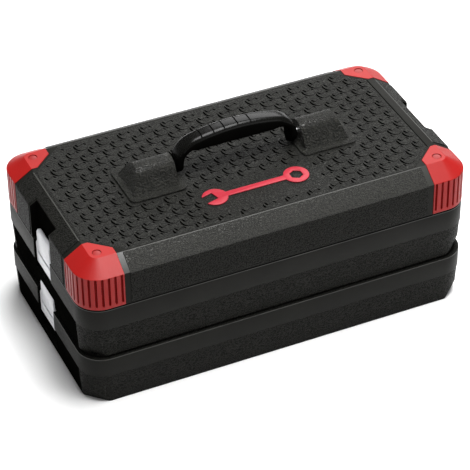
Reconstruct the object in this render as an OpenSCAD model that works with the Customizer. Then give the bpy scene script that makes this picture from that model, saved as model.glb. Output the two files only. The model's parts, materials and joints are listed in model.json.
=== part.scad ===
// Socket wrench set in a three-section carrying case.
// Two tool trays and a lid are stacked and held by draw latches on both short ends.
// Millimetres, +X along the case, +Y to the back, +Z up, origin under the middle of the case.

/* [Case] */
// Length of the moulded sections
body_l = 419; // [400:1:440]
// Width of the moulded sections
body_w = 226; // [215:1:240]
// Radius of the vertical corners
corner_r = 26; // [25:0.5:28]
// Outer skin, inside to outside
skin = 4.5; // [4:0.1:5]
// Top of the bottom tray
bottom_top = 55.5; // [55:0.5:57]
// Underside of the middle tray's side walls
middle_base = 58.5; // [58:0.5:60]
// Top of the middle tray, where the lid rests
middle_top = 116; // [115:0.5:118]
// Where the lid's walls turn into its bevel
lid_shoulder = 154; // [152:0.5:156]
// Flat top of the lid
lid_top = 166; // [164:0.5:168]
// How far the bevel runs in from the wall
bevel_in = 18.5; // [16:0.5:20]

/* [Trim] */
// How far the corner caps stand proud of the lid
cap_proud = 0.5; // [0.2:0.1:1]
// Thickness of the corner caps below the lid's own surface
cap_thick = 2.6; // [2:0.1:3]
// Height of the raised emblem
emblem_h = 1.2; // [0.6:0.1:2]

/* [Handle] */
// Height of the handle's pivot above the lid
pivot_up = 12.5; // [12:0.5:14]
// Half the handle's outer width
handle_half = 66.5; // [66:0.5:68]
// Top of the handle above the lid
handle_up = 45; // [44:0.5:47]
// Front-to-back thickness of the grip
grip_d = 19; // [17:0.5:20]

/* [Latches] */
// Bottom of the lower latches
latch_low = 27; // [26.5:0.5:27.5]
// Bottom of the upper latches
latch_high = 90; // [89.5:0.5:90.5]
// Half the width of a latch
latch_half = 21; // [20.5:0.1:21.2]

/* [Tools] */
// Jaw sizes of the large sockets
big_sizes = [10, 12, 13, 14, 17, 19, 22, 24, 27, 30];
// Jaw sizes of the small sockets
small_sizes = [4, 5, 5.5, 6, 7, 8, 10, 13];
// Jaw sizes of the two long spark plug sockets
plug_sizes = [16, 21];
// Jaw sizes of the combination wrenches
wrench_sizes = [10, 13, 14, 17];

/* [Hidden] */
$fn = 64;
eps = 0.01;
half_l = body_l / 2;
half_w = body_w / 2;

// tray interiors
floor_t = 3.5;
ledge_z = 52;           // the middle tray's foot rests here
ledge_in = 7.5;         // wall below the ledge
foot_in = 5.2;          // the middle tray's foot, from the outer wall
foot_gap = 0.7;         // between the foot and the bottom tray's rim
low_plane = 40;         // top of the bottom insert
mid_plane = 100;        // top of the middle insert
insert_l = 385;
insert_w = 208;
insert_r = 16;
sheet = 2.5;            // thickness of the inserts

// end channels, where the latches sit
channel_half = 22;
channel_floor = 197.5;
channel_wall = 3;
lid_channel_half = 26;
lid_channel_floor = 201;
lid_channel_top = 159;

// latches, as distances from the case's centre and heights above the latch's bottom
face_u = 207.6;         // outer face of both latch plates
back_u = 204.2;         // inner face of the claw
lever_pivot = [205.5, 23];
claw_pivot = [205.9, 15.5];
claw_half = 17.2;
knuckle_r = 1.7;
pin_r = 1.1;
trunnion_r = 0.9;
run_gap = 0.05;
catch_u = 203.6;        // outer face of the catch
hook_u = 202.4;         // tip of the hook
catch_z = 36;
hook_rise = 1.881;      // slope of the holding face
hook_play = 0.6;

// handle
pivot_z = lid_top + pivot_up;
arm_in = 57.5;
shoulder_r = 28;        // its outer bends
under_r = 16;           // its inner bends
pivot_pin_r = 3;
mount_in = 69;
mount_out = 118;

// corner caps
cap_z = 117.6;
cap_x = 166;
cap_y = 67.5;
cap_cut = [185, 85];    // ends of the cap's slanted inner edge, x then y
screw_at = [183, 86];

// tools
drive_half = 6.35;      // half of the 12.7 mm square drive
drive_quarter = 3.175;
ratchet_at = [-150, 76, 104];
small_ratchet_at = [-158, -38, 41];
joint_at = [152, 76, 117];
joint_arm = 16;         // from a yoke's base to the joint's centre
lever_rest = 20;        // the reversing levers lean this far to one side
bar_y = 20;
bar_z = 101;
extension_y = 46;

function big_od(s) = max(23, 1.25 * s + 5);
function small_od(s) = max(11, 1.35 * s + 1.5);
big_x = [-172, -140, -108, -76, -43, -7, -166, -120, -70, -16];
big_row = [0, 0, 0, 0, 0, 0, 1, 1, 1, 1];
big_rows = [-18, -68];
function big_place(i) = [big_x[i], big_rows[big_row[i]]];
function plug_place(i) = [60 + 46 * i, -45];
function plug_od(i) = 1.1 * plug_sizes[i] + 5;
function small_place(i) = [-176 + 22 * i, -72];
wrench_x = -168;
wrench_y = [90, 65, 36, 3];
function wrench_len(s) = 8.2 * s + 50;
function jaw_r(s) = 0.98 * s;
function ring_r(s) = 0.85 * s;

// ---------- shared shapes ----------

// rounded rectangle centred on the origin
module rounded(l, w, r) {
    square([l - 2 * r, w], center = true);
    square([l, w - 2 * r], center = true);
    for (sx = [-1, 1], sy = [-1, 1]) translate([sx * (l / 2 - r), sy * (w / 2 - r)]) circle(r);
}

// a rounded block of the case's outline, pulled in by inset
module block(z0, z1, inset) {
    translate([0, 0, z0]) linear_extrude(z1 - z0)
        rounded(body_l - 2 * inset, body_w - 2 * inset, corner_r - inset);
}

// a box between two corners
module span(a, b) {
    translate(a) cube(b - a);
}

// extrudes a profile drawn as (x, z) from y0 to y1
module along_y(y0, y1) {
    translate([0, y1, 0]) rotate([90, 0, 0]) linear_extrude(y1 - y0) children();
}

// extrudes a profile drawn as (y, z) from x0 to x1
module along_x(x0, x1) {
    translate([x0, 0, 0]) rotate([90, 0, 90]) linear_extrude(x1 - x0) children();
}

module rod_x(x0, x1, r) {
    translate([x0, 0, 0]) rotate([0, 90, 0]) cylinder(r = r, h = x1 - x0);
}

module rod_y(y0, y1, r) {
    translate([0, y0, 0]) rotate([-90, 0, 0]) cylinder(r = r, h = y1 - y0);
}

// puts a piece on the right end and a turned copy on the left end
module both_ends() {
    children();
    rotate([0, 0, 180]) children();
}

// puts a piece at both y and -y
module both_sides() {
    children();
    mirror([0, 1, 0]) children();
}

// ---------- trays ----------

// cutters that slope each bottom corner of a tray
module corner_slopes(z0) {
    cut = 5;
    reach = 14;
    tilt = atan(cut / reach);
    for (sx = [0, 1], sy = [0, 1]) mirror([sx, 0, 0]) mirror([0, sy, 0])
        translate([half_l - corner_r, half_w - corner_r, z0]) rotate([0, 0, 45])
            translate([corner_r - cut, 0, 0]) rotate([0, tilt, 0])
                translate([0, -40, -30]) cube([40, 80, 70]);
}

// an open channel in both short ends
module end_channels(z0, z1) {
    both_ends() span([channel_floor, -channel_half, z0], [half_l + 5, channel_half, z1]);
}

// the room inside a tray, leaving walls behind the end channels, thicker by extra
module tray_room(z0, z1, inset, extra = 0) {
    u = channel_floor - channel_wall - extra;
    v = channel_half + channel_wall + extra;
    difference() {
        block(z0, z1, inset);
        both_ends() span([u, -v, z0 - 1], [half_l + 5, v, z1 + 1]);
    }
}

// holes in the channel's side walls for the lever pins
module lever_pin_holes(base) {
    both_ends() both_sides() translate([lever_pivot.x, 0, base + lever_pivot.y])
        rod_y(channel_half - 1, channel_half + 3.5, pin_r);
}

// a catch that a claw hooks over
module catch_block(base, z0, floor_u) {
    both_ends() along_y(-claw_half, claw_half) polygon([
        [floor_u - 1, z0], [catch_u, z0], [catch_u, base + catch_z],
        [hook_u, base + catch_z + (catch_u - hook_u) * hook_rise],
        [floor_u - 1, base + catch_z + (catch_u - hook_u) * hook_rise]]);
}

module bottom_tray_shell() {
    color("dimgray") difference() {
        block(0, bottom_top, 0);
        corner_slopes(0);
        tray_room(ledge_z, bottom_top + 1, skin);
        tray_room(floor_t, ledge_z + 1, ledge_in);
        end_channels(6, bottom_top + 1);
        lever_pin_holes(latch_low);
    }
}

module middle_tray_shell() {
    foot_floor = ledge_z + floor_t;
    color("dimgray") union() {
        difference() {
            union() {
                difference() {
                    block(middle_base, middle_top, 0);
                    corner_slopes(middle_base);
                }
                tray_room(ledge_z, middle_base + 1, foot_in, foot_gap);
            }
            tray_room(foot_floor, middle_base + 2, foot_in + skin, foot_gap + channel_wall);
            tray_room(middle_base + 2 - eps, middle_top + 1, ledge_in);
            end_channels(middle_base - 1, latch_low + 42.5);
            end_channels(latch_high - 8, middle_top + 1);
            lever_pin_holes(latch_high);
        }
        catch_block(latch_low, middle_base, channel_floor);
    }
}

// short pins that the levers turn on
module latch_pins(base) {
    both_ends() both_sides() translate([lever_pivot.x, 0, base + lever_pivot.y])
        rod_y(claw_half + 0.8, channel_half + 3.5, pin_r);
}

module lower_latch_pins() {
    color("silver") latch_pins(latch_low);
}

module upper_latch_pins() {
    color("silver") latch_pins(latch_high);
}

// ---------- latches, drawn at the right end ----------

module latch_lever(base) {
    color("gainsboro") translate([0, 0, base]) difference() {
        union() {
            along_y(-latch_half, latch_half)
                polygon([[203.6, 1], [204.6, 0], [face_u, 0], [face_u, 12], [204.8, 13.88], [203.6, 14.6]]);
            both_sides() along_y(claw_half + 0.4, latch_half) {
                polygon([[203.4, 10], [face_u, 10], [face_u, lever_pivot.y], [203.4, lever_pivot.y]]);
                translate(lever_pivot) circle(face_u - lever_pivot.x);
            }
        }
        translate([claw_pivot.x, 0, claw_pivot.y]) {
            rod_y(-claw_half - 0.4, claw_half + 0.4, knuckle_r + 0.25);
            rod_y(-claw_half - 2.6, claw_half + 2.6, trunnion_r + run_gap);
        }
        translate([lever_pivot.x, 0, lever_pivot.y]) rod_y(-latch_half - 1, latch_half + 1, pin_r + run_gap);
    }
}

module latch_claw(base) {
    tip_z = catch_z + (catch_u - hook_u) * hook_rise + hook_play;
    root_z = tip_z - (back_u - hook_u) * hook_rise;
    color("gainsboro") translate([0, 0, base]) union() {
        along_y(-claw_half, claw_half) {
            polygon([[back_u, claw_pivot.y], [face_u, claw_pivot.y], [face_u, 38.5], [206.4, 41],
                     [203.4, 41], [hook_u, 39.6], [hook_u, tip_z], [back_u, root_z]]);
            translate(claw_pivot) circle(knuckle_r);
        }
        translate([claw_pivot.x, 0, claw_pivot.y]) rod_y(-claw_half - 2.4, claw_half + 2.4, trunnion_r);
    }
}

// ---------- lid ----------

// the lid's outer form, offset inward by o and starting at z0
module lid_form(o, z0) {
    l = body_l - 2 * o;
    w = body_w - 2 * o;
    r = corner_r - o;
    rise = lid_top - lid_shoulder;
    slope = rise / bevel_in;
    wall_top = lid_shoulder - o * (sqrt(1 + slope * slope) - slope);
    top = lid_top - o;
    inset = (top - wall_top) / slope;
    along_x(-l / 2 + r, l / 2 - r) polygon([[-w / 2, z0], [w / 2, z0], [w / 2, wall_top],
        [w / 2 - inset, top], [-w / 2 + inset, top], [-w / 2, wall_top]]);
    along_y(-w / 2 + r, w / 2 - r) polygon([[-l / 2, z0], [l / 2, z0], [l / 2, wall_top],
        [l / 2 - inset, top], [-l / 2 + inset, top], [-l / 2, wall_top]]);
    for (sx = [-1, 1], sy = [-1, 1]) translate([sx * (l / 2 - r), sy * (w / 2 - r), 0])
        rotate_extrude() polygon([[0, z0], [r, z0], [r, wall_top], [r - inset, top], [0, top]]);
}

// where a corner cap covers the lid, at the back right corner
module cap_region(gap) {
    translate([0, 0, cap_z + gap]) linear_extrude(lid_top - cap_z + 5) polygon([
        [cap_x + gap, 200], [cap_x + gap, cap_cut.y + gap], [cap_cut.x + gap, cap_y + gap],
        [300, cap_y + gap], [300, 200]]);
}

module four_corners() {
    for (sx = [0, 1], sy = [0, 1]) mirror([sx, 0, 0]) mirror([0, sy, 0]) children();
}

module lid_shell() {
    color("dimgray") difference() {
        union() {
            difference() {
                lid_form(0, middle_top);
                difference() {
                    lid_form(skin, middle_top - 1);
                    both_ends() span([lid_channel_floor - channel_wall, -lid_channel_half - channel_wall, 100],
                                     [half_l + 5, lid_channel_half + channel_wall, 200]);
                }
                both_ends() span([lid_channel_floor, -lid_channel_half, middle_top - 1],
                                 [half_l + 5, lid_channel_half, lid_channel_top]);
                four_corners() difference() {
                    cap_region(0);
                    lid_form(cap_thick, middle_top);
                }
            }
            catch_block(latch_high, middle_top, lid_channel_floor);
            four_corners() translate([screw_at.x, screw_at.y, lid_top - 9]) cylinder(r = 5, h = 5.5);
        }
        four_corners() translate([screw_at.x, screw_at.y, lid_top - 9.5]) cylinder(r = 1.6, h = 12);
        for (sx = [-1, 1], sy = [-1, 1]) translate([sx * 93, sy * 13, lid_top - 6]) cylinder(r = 2, h = 8);
    }
}

module lid_foam_pad() {
    color("darkslategray") translate([0, 0, 152]) difference() {
        linear_extrude(lid_top - skin - 152) rounded(330, 158, 12);
        for (sx = [-1, 1], sy = [-1, 1]) translate([sx * 93, sy * 13, -1]) cylinder(r = 6, h = 20);
    }
}

// a plain open-and-ring spanner outline, standing for the badge
module lid_emblem() {
    color("crimson") translate([-1.5, -54, lid_top]) linear_extrude(emblem_h) difference() {
        union() {
            square([88, 7], center = true);
            translate([44, 0]) circle(13);
            translate([-44, 0]) circle(13);
        }
        translate([44, 0]) rotate(30) circle(7, $fn = 6);
        translate([-51, 0]) rotate(15) square([16, 11], center = true);
    }
}

module corner_cap() {
    color("red") difference() {
        intersection() {
            lid_form(-cap_proud, middle_top);
            cap_region(0.2);
        }
        lid_form(cap_thick, middle_top - 1);
        translate([screw_at.x, screw_at.y, lid_top - 1.4]) cylinder(r = 4.5, h = 5);
        translate([screw_at.x, screw_at.y, lid_top - 5]) cylinder(r = 1.6, h = 8);
    }
}

module corner_cap_screws() {
    color("firebrick") four_corners() translate([screw_at.x, screw_at.y, 0]) difference() {
        union() {
            translate([0, 0, lid_top - 1.4]) cylinder(r = 3.6, h = 1.2);
            translate([0, 0, lid_top - 9]) cylinder(r = 1.6, h = 8);
        }
        translate([0, 0, lid_top - 1]) cylinder(r = 1.8, h = 2, $fn = 6);
    }
}

// ---------- handle ----------

// drawn on the right
module handle_mount() {
    top = 24;
    color("dimgray") difference() {
        translate([0, 0, lid_top]) union() {
            translate([(mount_in + mount_out) / 2 - 0.5, 0, 0]) linear_extrude(2) rounded(60, 60, 6);
            intersection() {
                along_x(mount_in, mount_out) {
                    polygon([[-22.5, 1], [22.5, 1], [13.5, 15], [-13.5, 15]]);
                    translate([0, top - 15]) circle(15);
                    translate([-15, 1]) square([30, top - 16]);
                }
                along_y(-30, 30) polygon([[mount_in, 1], [mount_out, 1], [mount_out - 10, top + 1],
                                          [mount_in, top + 1]]);
            }
        }
        translate([0, 0, pivot_z]) rod_x(mount_in - 5, 90, pivot_pin_r);
        for (sy = [-1, 1]) translate([93, sy * 13, lid_top - 1]) cylinder(r = 2, h = 8);
        translate([0, 0, lid_top - 20]) linear_extrude(20) square(400, center = true);
    }
}

module handle_mount_screws() {
    color("silver") for (sx = [-1, 1], sy = [-1, 1]) translate([sx * 93, sy * 13, lid_top - skin - 2.5]) {
        difference() {
            cylinder(r = 4, h = 2.5);
            translate([0, 0, -1]) cylinder(r = 2, h = 2.4, $fn = 6);
        }
        cylinder(r = 2, h = skin + 2.5 + 6.5);
    }
}

module handle_pivot_pins() {
    color("silver") both_ends() translate([0, 0, pivot_z]) rod_x(arm_in + 1, 90, pivot_pin_r);
}

// the arch's outer line: a shallow crown that runs into two bends at the pivot's height
module arch_outline(top) {
    bend_x = handle_half - shoulder_r;
    crown_r = (bend_x * bend_x + top * top - shoulder_r * shoulder_r) / (2 * (top - shoulder_r));
    meet_x = bend_x * crown_r / (crown_r - shoulder_r);
    intersection() {
        translate([0, top - crown_r]) circle(crown_r);
        translate([-meet_x, 0]) square([2 * meet_x, top + 1]);
    }
    for (s = [-1, 1]) translate([s * bend_x, 0]) circle(shoulder_r);
}

module handle_grip() {
    top = handle_up - pivot_up;
    under = 25 - pivot_up;
    color("black") translate([0, 0, pivot_z]) difference() {
        union() {
            along_y(-grip_d / 2, grip_d / 2) difference() {
                arch_outline(top);
                translate([-arm_in, -40]) square([2 * arm_in, under + 40 - under_r]);
                translate([-arm_in + under_r, -40]) square([2 * (arm_in - under_r), under + 40]);
                for (s = [-1, 1]) translate([s * (arm_in - under_r), under - under_r]) circle(under_r);
                translate([-100, -60]) square([200, 60]);
            }
            both_ends() rod_x(arm_in, handle_half, grip_d / 2);
        }
        both_ends() rod_x(arm_in - 1, handle_half + 1, pivot_pin_r + run_gap);
    }
}

// ---------- inserts ----------

// a moulded sheet with a skirt; its wells are added and cut by the callers
module insert_sheet(floor_z, plane_z) {
    translate([0, 0, plane_z - sheet]) linear_extrude(sheet) rounded(insert_l, insert_w, insert_r);
    translate([0, 0, floor_z]) linear_extrude(plane_z - floor_z) difference() {
        rounded(insert_l, insert_w, insert_r);
        rounded(insert_l - 2 * sheet, insert_w - 2 * sheet, insert_r - sheet);
    }
}

// a round pocket, grown by g outside the tool it holds
module round_pocket(at, r, floor_z, plane_z, g) {
    translate([at.x, at.y, floor_z - g]) cylinder(r = r + g, h = plane_z - floor_z + g + (g > 0 ? 0 : 1));
}

// a straight pocket
module box_pocket(a, b, floor_z, plane_z, g) {
    span([a.x - g, a.y - g, floor_z - g], [b.x + g, b.y + g, plane_z + (g > 0 ? 0 : 1)]);
}

module middle_pockets(g) {
    for (i = [0 : len(big_sizes) - 1])
        round_pocket(big_place(i), big_od(big_sizes[i]) / 2 + 0.5, mid_plane - 20, mid_plane, g);
    // ratchet: head, drive, shank and grip
    round_pocket(ratchet_at, 20, ratchet_at.z - 8.2, mid_plane, g);
    round_pocket(ratchet_at, 11, ratchet_at.z - 24, mid_plane, g);
    box_pocket([ratchet_at.x + 15, ratchet_at.y - 8], [-15, ratchet_at.y + 8], ratchet_at.z - 8, mid_plane, g);
    box_pocket([-15, ratchet_at.y - 14], [112, ratchet_at.y + 14], ratchet_at.z - 13.5, mid_plane, g);
    // extensions, sliding bar and the room its head slides through
    box_pocket([-186, extension_y - 12], [186, extension_y + 12], mid_plane - 11, mid_plane, g);
    box_pocket([-186, bar_y - 6.5], [78, bar_y + 6.5], bar_z - 6.2, mid_plane, g);
    box_pocket([-150, bar_y - 13], [40, bar_y + 13], bar_z - 30, mid_plane, g);
    // universal joint
    round_pocket(joint_at, 12.5, mid_plane - 16, mid_plane, g);
    for (i = [0, 1]) round_pocket(plug_place(i), plug_od(i) / 2 + 0.5, mid_plane - 20, mid_plane, g);
}

module middle_tray_insert() {
    color("slategray") difference() {
        union() {
            insert_sheet(middle_base + 2, mid_plane);
            middle_pockets(1.5);
        }
        middle_pockets(0);
    }
}

module bottom_pockets(g) {
    for (i = [0 : len(small_sizes) - 1])
        round_pocket(small_place(i), small_od(small_sizes[i]) / 2 + 0.4, low_plane - 14, low_plane, g);
    for (i = [0 : len(wrench_sizes) - 1]) {
        size = wrench_sizes[i];
        end_x = wrench_x + wrench_len(size);
        round_pocket([wrench_x, wrench_y[i]], jaw_r(size) + 0.5, low_plane - 6, low_plane, min(g, 0.6));
        round_pocket([end_x, wrench_y[i]], ring_r(size) + 0.5, low_plane - 6, low_plane, g);
        box_pocket([wrench_x, wrench_y[i] - 0.35 * size - 0.8], [end_x, wrench_y[i] + 0.35 * size + 0.8],
                   low_plane - 6, low_plane, g);
    }
    round_pocket(small_ratchet_at, 14, small_ratchet_at.z - 6.2, low_plane, g);
    round_pocket(small_ratchet_at, 6.5, small_ratchet_at.z - 16, low_plane, g);
    box_pocket([small_ratchet_at.x + 8, small_ratchet_at.y - 8], [2, small_ratchet_at.y + 8],
               small_ratchet_at.z - 8, low_plane, g);
    box_pocket([18, -55], [184, -23], 18, low_plane, g);
    for (i = [0 : 13]) round_pocket([12 + 12.5 * i, -84], 3.9, low_plane - 14, low_plane, g);
}

module bottom_tray_insert() {
    color("slategray") difference() {
        union() {
            insert_sheet(floor_t, low_plane);
            bottom_pockets(1.5);
        }
        bottom_pockets(0);
    }
}

// ---------- large tools in the middle tray ----------

// a hexagon socket standing with its jaw up
module hex_socket(size, od, neck, h, square_w) {
    difference() {
        union() {
            cylinder(r = neck / 2, h = h);
            translate([0, 0, h * 0.42]) cylinder(r = od / 2, h = h * 0.58);
        }
        translate([0, 0, h * 0.55]) cylinder(r = size / sqrt(3), h = h, $fn = 6);
        translate([0, 0, h * 0.4]) cylinder(r = size * 0.36, h = h);
        translate([-square_w / 2, -square_w / 2, -1]) cube([square_w, square_w, h * 0.4 + 2]);
    }
}

module big_socket(i) {
    size = big_sizes[i];
    color("lightsteelblue") translate([big_place(i).x, big_place(i).y, mid_plane - 20])
        hex_socket(size, big_od(size), max(23, big_od(size) * 0.8), 38 + size / 6, 2 * drive_half + 0.2);
}

module plug_socket(i) {
    color("lightsteelblue") translate([plug_place(i).x, plug_place(i).y, mid_plane - 20])
        hex_socket(plug_sizes[i], plug_od(i), plug_od(i) - 2, 65, 2 * drive_half + 0.2);
}

module ratchet_head() {
    color("silver") translate(ratchet_at) difference() {
        union() {
            translate([0, 0, -8]) cylinder(r = 19, h = 16);
            along_y(-6.5, 6.5) polygon([[10, -6.5], [60, -5], [60, 5], [10, 6.5]]);
            rod_x(55, 240, 6);
        }
        translate([0, 0, -9]) cylinder(r = 9, h = 20);
        translate([0, 0, -4]) cylinder(r = 14, h = 9.5);
        translate([0, 0, 5]) cylinder(r = 15.5, h = 4);
    }
}

module ratchet_cover() {
    color("silver") translate(ratchet_at) difference() {
        translate([0, 0, 5.5]) cylinder(r = 15.5, h = 2.5);
        translate([0, 0, 5]) cylinder(r = 5 + 3 * run_gap, h = 4);
        translate([10.5, 0, 5]) cylinder(r = 1.5 + run_gap, h = 4);
    }
}

module ratchet_grip() {
    color("firebrick") translate(ratchet_at) difference() {
        union() {
            rod_x(140, 256, 12);
            rod_x(146, 250, 13);
        }
        rod_x(139, 240, 6);
    }
}

module ratchet_drive() {
    color("silver") translate(ratchet_at) difference() {
        union() {
            translate([0, 0, -9.5]) cylinder(r = 9 - run_gap, h = 5.4);
            translate([0, 0, -3.9]) cylinder(r = 13.6, h = 9.2);
            translate([0, 0, -5]) cylinder(r = 9 - run_gap, h = 3);
            translate([0, 0, 5]) cylinder(r = 5, h = 4.5);
            translate([-drive_half, -drive_half, -23]) cube([2 * drive_half, 2 * drive_half, 14]);
        }
        translate([0, 0, -20]) cylinder(r = 2.5 + run_gap, h = 31);
    }
}

module ratchet_release_button() {
    color("gray") translate(ratchet_at) {
        translate([0, 0, -16]) cylinder(r = 2.5, h = 28);
        translate([0, 0, 11.6]) cylinder(r = 4, h = 2);
    }
}

module ratchet_reverse_lever() {
    color("gray") translate(ratchet_at) {
        translate([10.5, 0, 5.5]) cylinder(r = 1.5, h = 4);
        translate([10.5, 0, 8.2]) rotate(-lever_rest) linear_extrude(3) {
            circle(4.5);
            translate([0, -2.2]) square([13, 4.4]);
            translate([13, 0]) circle(3);
        }
    }
}

// drive square on the end of a bar, from z = 0 upward
module drive_stub(h) {
    translate([-drive_half, -drive_half, 0]) cube([2 * drive_half, 2 * drive_half, h]);
}

// an extension bar along +X from its socket end
module extension(l) {
    difference() {
        union() {
            rod_x(0, 24, 11);
            rod_x(20, l - 24, 6.5);
            rod_x(l - 28, l - 14, 9.5);
            translate([l - 14, -drive_half, -drive_half]) cube([14, 2 * drive_half, 2 * drive_half]);
        }
        translate([-1, -drive_half - 0.1, -drive_half - 0.1]) cube([17, 2 * drive_half + 0.2, 2 * drive_half + 0.2]);
    }
}

module extension_long() {
    color("silver") translate([-184, extension_y, mid_plane + 0.5]) extension(235);
}

module extension_short() {
    color("silver") translate([58, extension_y, mid_plane + 0.5]) extension(126);
}

module sliding_bar() {
    color("silver") translate([0, bar_y, bar_z]) {
        rod_x(-184, 76, 5.5);
    }
}

module sliding_bar_head() {
    color("silver") translate([-120, bar_y, bar_z]) difference() {
        union() {
            translate([0, 0, -10]) cylinder(r = 12, h = 20);
            translate([0, 0, -24]) drive_stub(16);
        }
        rod_x(-15, 15, 5.5 + run_gap);
    }
}

// a round base with two ears, bored across at joint_arm above the origin
module yoke(turn) {
    rotate([0, 0, turn]) difference() {
        union() {
            translate([0, 0, -4]) cylinder(r = 12, h = 9);
            intersection() {
                cylinder(r = 11.4, h = joint_arm + 8);
                both_sides() along_y(7, 13) {
                    translate([-5.5, 4]) square([11, joint_arm - 4]);
                    translate([0, joint_arm]) circle(5.5);
                }
            }
        }
        translate([0, 0, joint_arm]) rod_y(-15, 15, 2 + run_gap);
    }
}

module universal_joint_socket_end() {
    hole = 2 * drive_half + 0.2;
    color("silver") translate([joint_at.x, joint_at.y, joint_at.z - joint_arm]) difference() {
        union() {
            yoke(0);
            translate([0, 0, -16]) cylinder(r = 12, h = 13);
        }
        translate([-hole / 2, -hole / 2, -17]) cube([hole, hole, 15]);
    }
}

module universal_joint_cross() {
    color("gray") translate(joint_at) {
        translate([-4.5, -4.5, -4.5]) cube(9);
        rod_y(-11, 11, 2);
        rod_x(-11, 11, 2);
    }
}

module universal_joint_drive_end() {
    color("silver") translate([joint_at.x, joint_at.y, joint_at.z + joint_arm]) {
        mirror([0, 0, 1]) yoke(90);
        translate([0, 0, 3]) drive_stub(13);
    }
}

// ---------- small tools in the bottom tray ----------

module small_sockets() {
    color("lightsteelblue") for (i = [0 : len(small_sizes) - 1])
        translate([small_place(i).x, small_place(i).y, low_plane - 14])
            hex_socket(small_sizes[i], small_od(small_sizes[i]), max(11, small_od(small_sizes[i]) * 0.8), 24,
                       2 * drive_quarter + 0.1);
}

module small_ratchet_body() {
    color("silver") translate(small_ratchet_at) difference() {
        union() {
            translate([0, 0, -6]) cylinder(r = 13, h = 12);
            along_y(-4, 4) polygon([[8, -4], [45, -3.5], [45, 3.5], [8, 4]]);
            rod_x(40, 92, 4);
            rod_x(86, 158, 7.5);
        }
        translate([0, 0, -7]) cylinder(r = 5.5, h = 20);
        translate([0, 0, -3]) cylinder(r = 9, h = 6);
        translate([9.8, 0, 3.5]) cylinder(r = 1.2 + run_gap, h = 4);
    }
}

module small_ratchet_drive() {
    color("silver") translate(small_ratchet_at) {
        translate([0, 0, -7.5]) cylinder(r = 5.5 - run_gap, h = 14);
        translate([0, 0, -2.8]) cylinder(r = 8.7, h = 5.6);
        translate([-drive_quarter, -drive_quarter, -15]) cube([2 * drive_quarter, 2 * drive_quarter, 8]);
    }
}

module small_ratchet_reverse_lever() {
    color("gray") translate(small_ratchet_at) {
        translate([9.8, 0, 3.6]) cylinder(r = 1.2, h = 3);
        translate([9.8, 0, 6.3]) rotate(-lever_rest) linear_extrude(2.2) {
            circle(2.8);
            translate([0, -1.5]) square([9, 3]);
        }
    }
}

module bit_driver_handle() {
    color("firebrick") translate([0, -39, 33]) difference() {
        union() {
            rod_x(88, 182, 12);
            rod_x(98, 176, 13.5);
            rod_x(80, 90, 9);
        }
        rod_x(79, 120, 3.5);
    }
}

module bit_driver_shaft() {
    color("silver") translate([0, -39, 33]) difference() {
        union() {
            rod_x(34, 118, 3.5);
            rod_x(22, 44, 5.5);
        }
        rotate([0, 90, 0]) translate([0, 0, 21]) cylinder(r = 3.75, h = 12, $fn = 6);
    }
}

module screwdriver_bits() {
    color("silver") for (i = [0 : 13]) translate([12 + 12.5 * i, -84, low_plane - 14]) {
        cylinder(r = 3.6, h = 12, $fn = 6);
        translate([0, 0, 11.5]) cylinder(r = 2.2, h = 6);
        translate([-2, -0.5, 17]) cube([4, 1, 5]);
    }
}

// a wrench lying along +X, open jaw at the left, ring at the right
module wrench(size) {
    l = wrench_len(size);
    thick = 5;
    difference() {
        union() {
            translate([0, -size * 0.35, 0.75]) cube([l, size * 0.7, thick - 1.5]);
            cylinder(r = jaw_r(size), h = thick);
            translate([l, 0, 0]) cylinder(r = ring_r(size), h = thick);
        }
        rotate([0, 0, 15]) translate([-size * 1.5, -size / 2, -1]) cube([size * 1.7, size, thick + 2]);
        translate([l, 0, -1]) cylinder(r = size / sqrt(3), h = thick + 2, $fn = 6);
    }
}

module combination_wrenches() {
    color("silver") for (i = [0 : len(wrench_sizes) - 1])
        translate([wrench_x, wrench_y[i], low_plane - 5.8]) wrench(wrench_sizes[i]);
}

// ---------- assembly ----------

bottom_tray_shell();
bottom_tray_insert();
lower_latch_pins();
middle_tray_shell();
middle_tray_insert();
upper_latch_pins();
lid_shell();
lid_foam_pad();
lid_emblem();
corner_cap();  // corner_cap_back_right
mirror([1, 0, 0]) corner_cap();  // corner_cap_back_left
mirror([0, 1, 0]) corner_cap();  // corner_cap_front_right
rotate([0, 0, 180]) corner_cap();  // corner_cap_front_left
corner_cap_screws();
handle_mount();  // handle_mount_right
mirror([1, 0, 0]) handle_mount();  // handle_mount_left
handle_mount_screws();
handle_pivot_pins();
handle_grip();
latch_lever(latch_high);  // upper_right_latch_lever
latch_claw(latch_high);  // upper_right_latch_claw
rotate([0, 0, 180]) latch_lever(latch_high);  // upper_left_latch_lever
rotate([0, 0, 180]) latch_claw(latch_high);  // upper_left_latch_claw
latch_lever(latch_low);  // lower_right_latch_lever
latch_claw(latch_low);  // lower_right_latch_claw
rotate([0, 0, 180]) latch_lever(latch_low);  // lower_left_latch_lever
rotate([0, 0, 180]) latch_claw(latch_low);  // lower_left_latch_claw
ratchet_head();
ratchet_cover();
ratchet_grip();
ratchet_drive();
ratchet_reverse_lever();
ratchet_release_button();
universal_joint_socket_end();
universal_joint_cross();
universal_joint_drive_end();
extension_long();
extension_short();
sliding_bar();
sliding_bar_head();
for (i = [0 : len(big_sizes) - 1])
    big_socket(i);
for (i = [0 : len(plug_sizes) - 1])
    plug_socket(i);
small_ratchet_body();
small_ratchet_drive();
small_ratchet_reverse_lever();
small_sockets();
bit_driver_handle();
bit_driver_shaft();
screwdriver_bits();
combination_wrenches();
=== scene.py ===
"""The looks of the socket wrench set in its three-section case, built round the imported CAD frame.

Shapes are written in millimetres and turned into metres by MM. Lights and the camera are in metres.
"""

import json
import math

import bmesh
import bpy
from mathutils import Matrix, Vector


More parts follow.
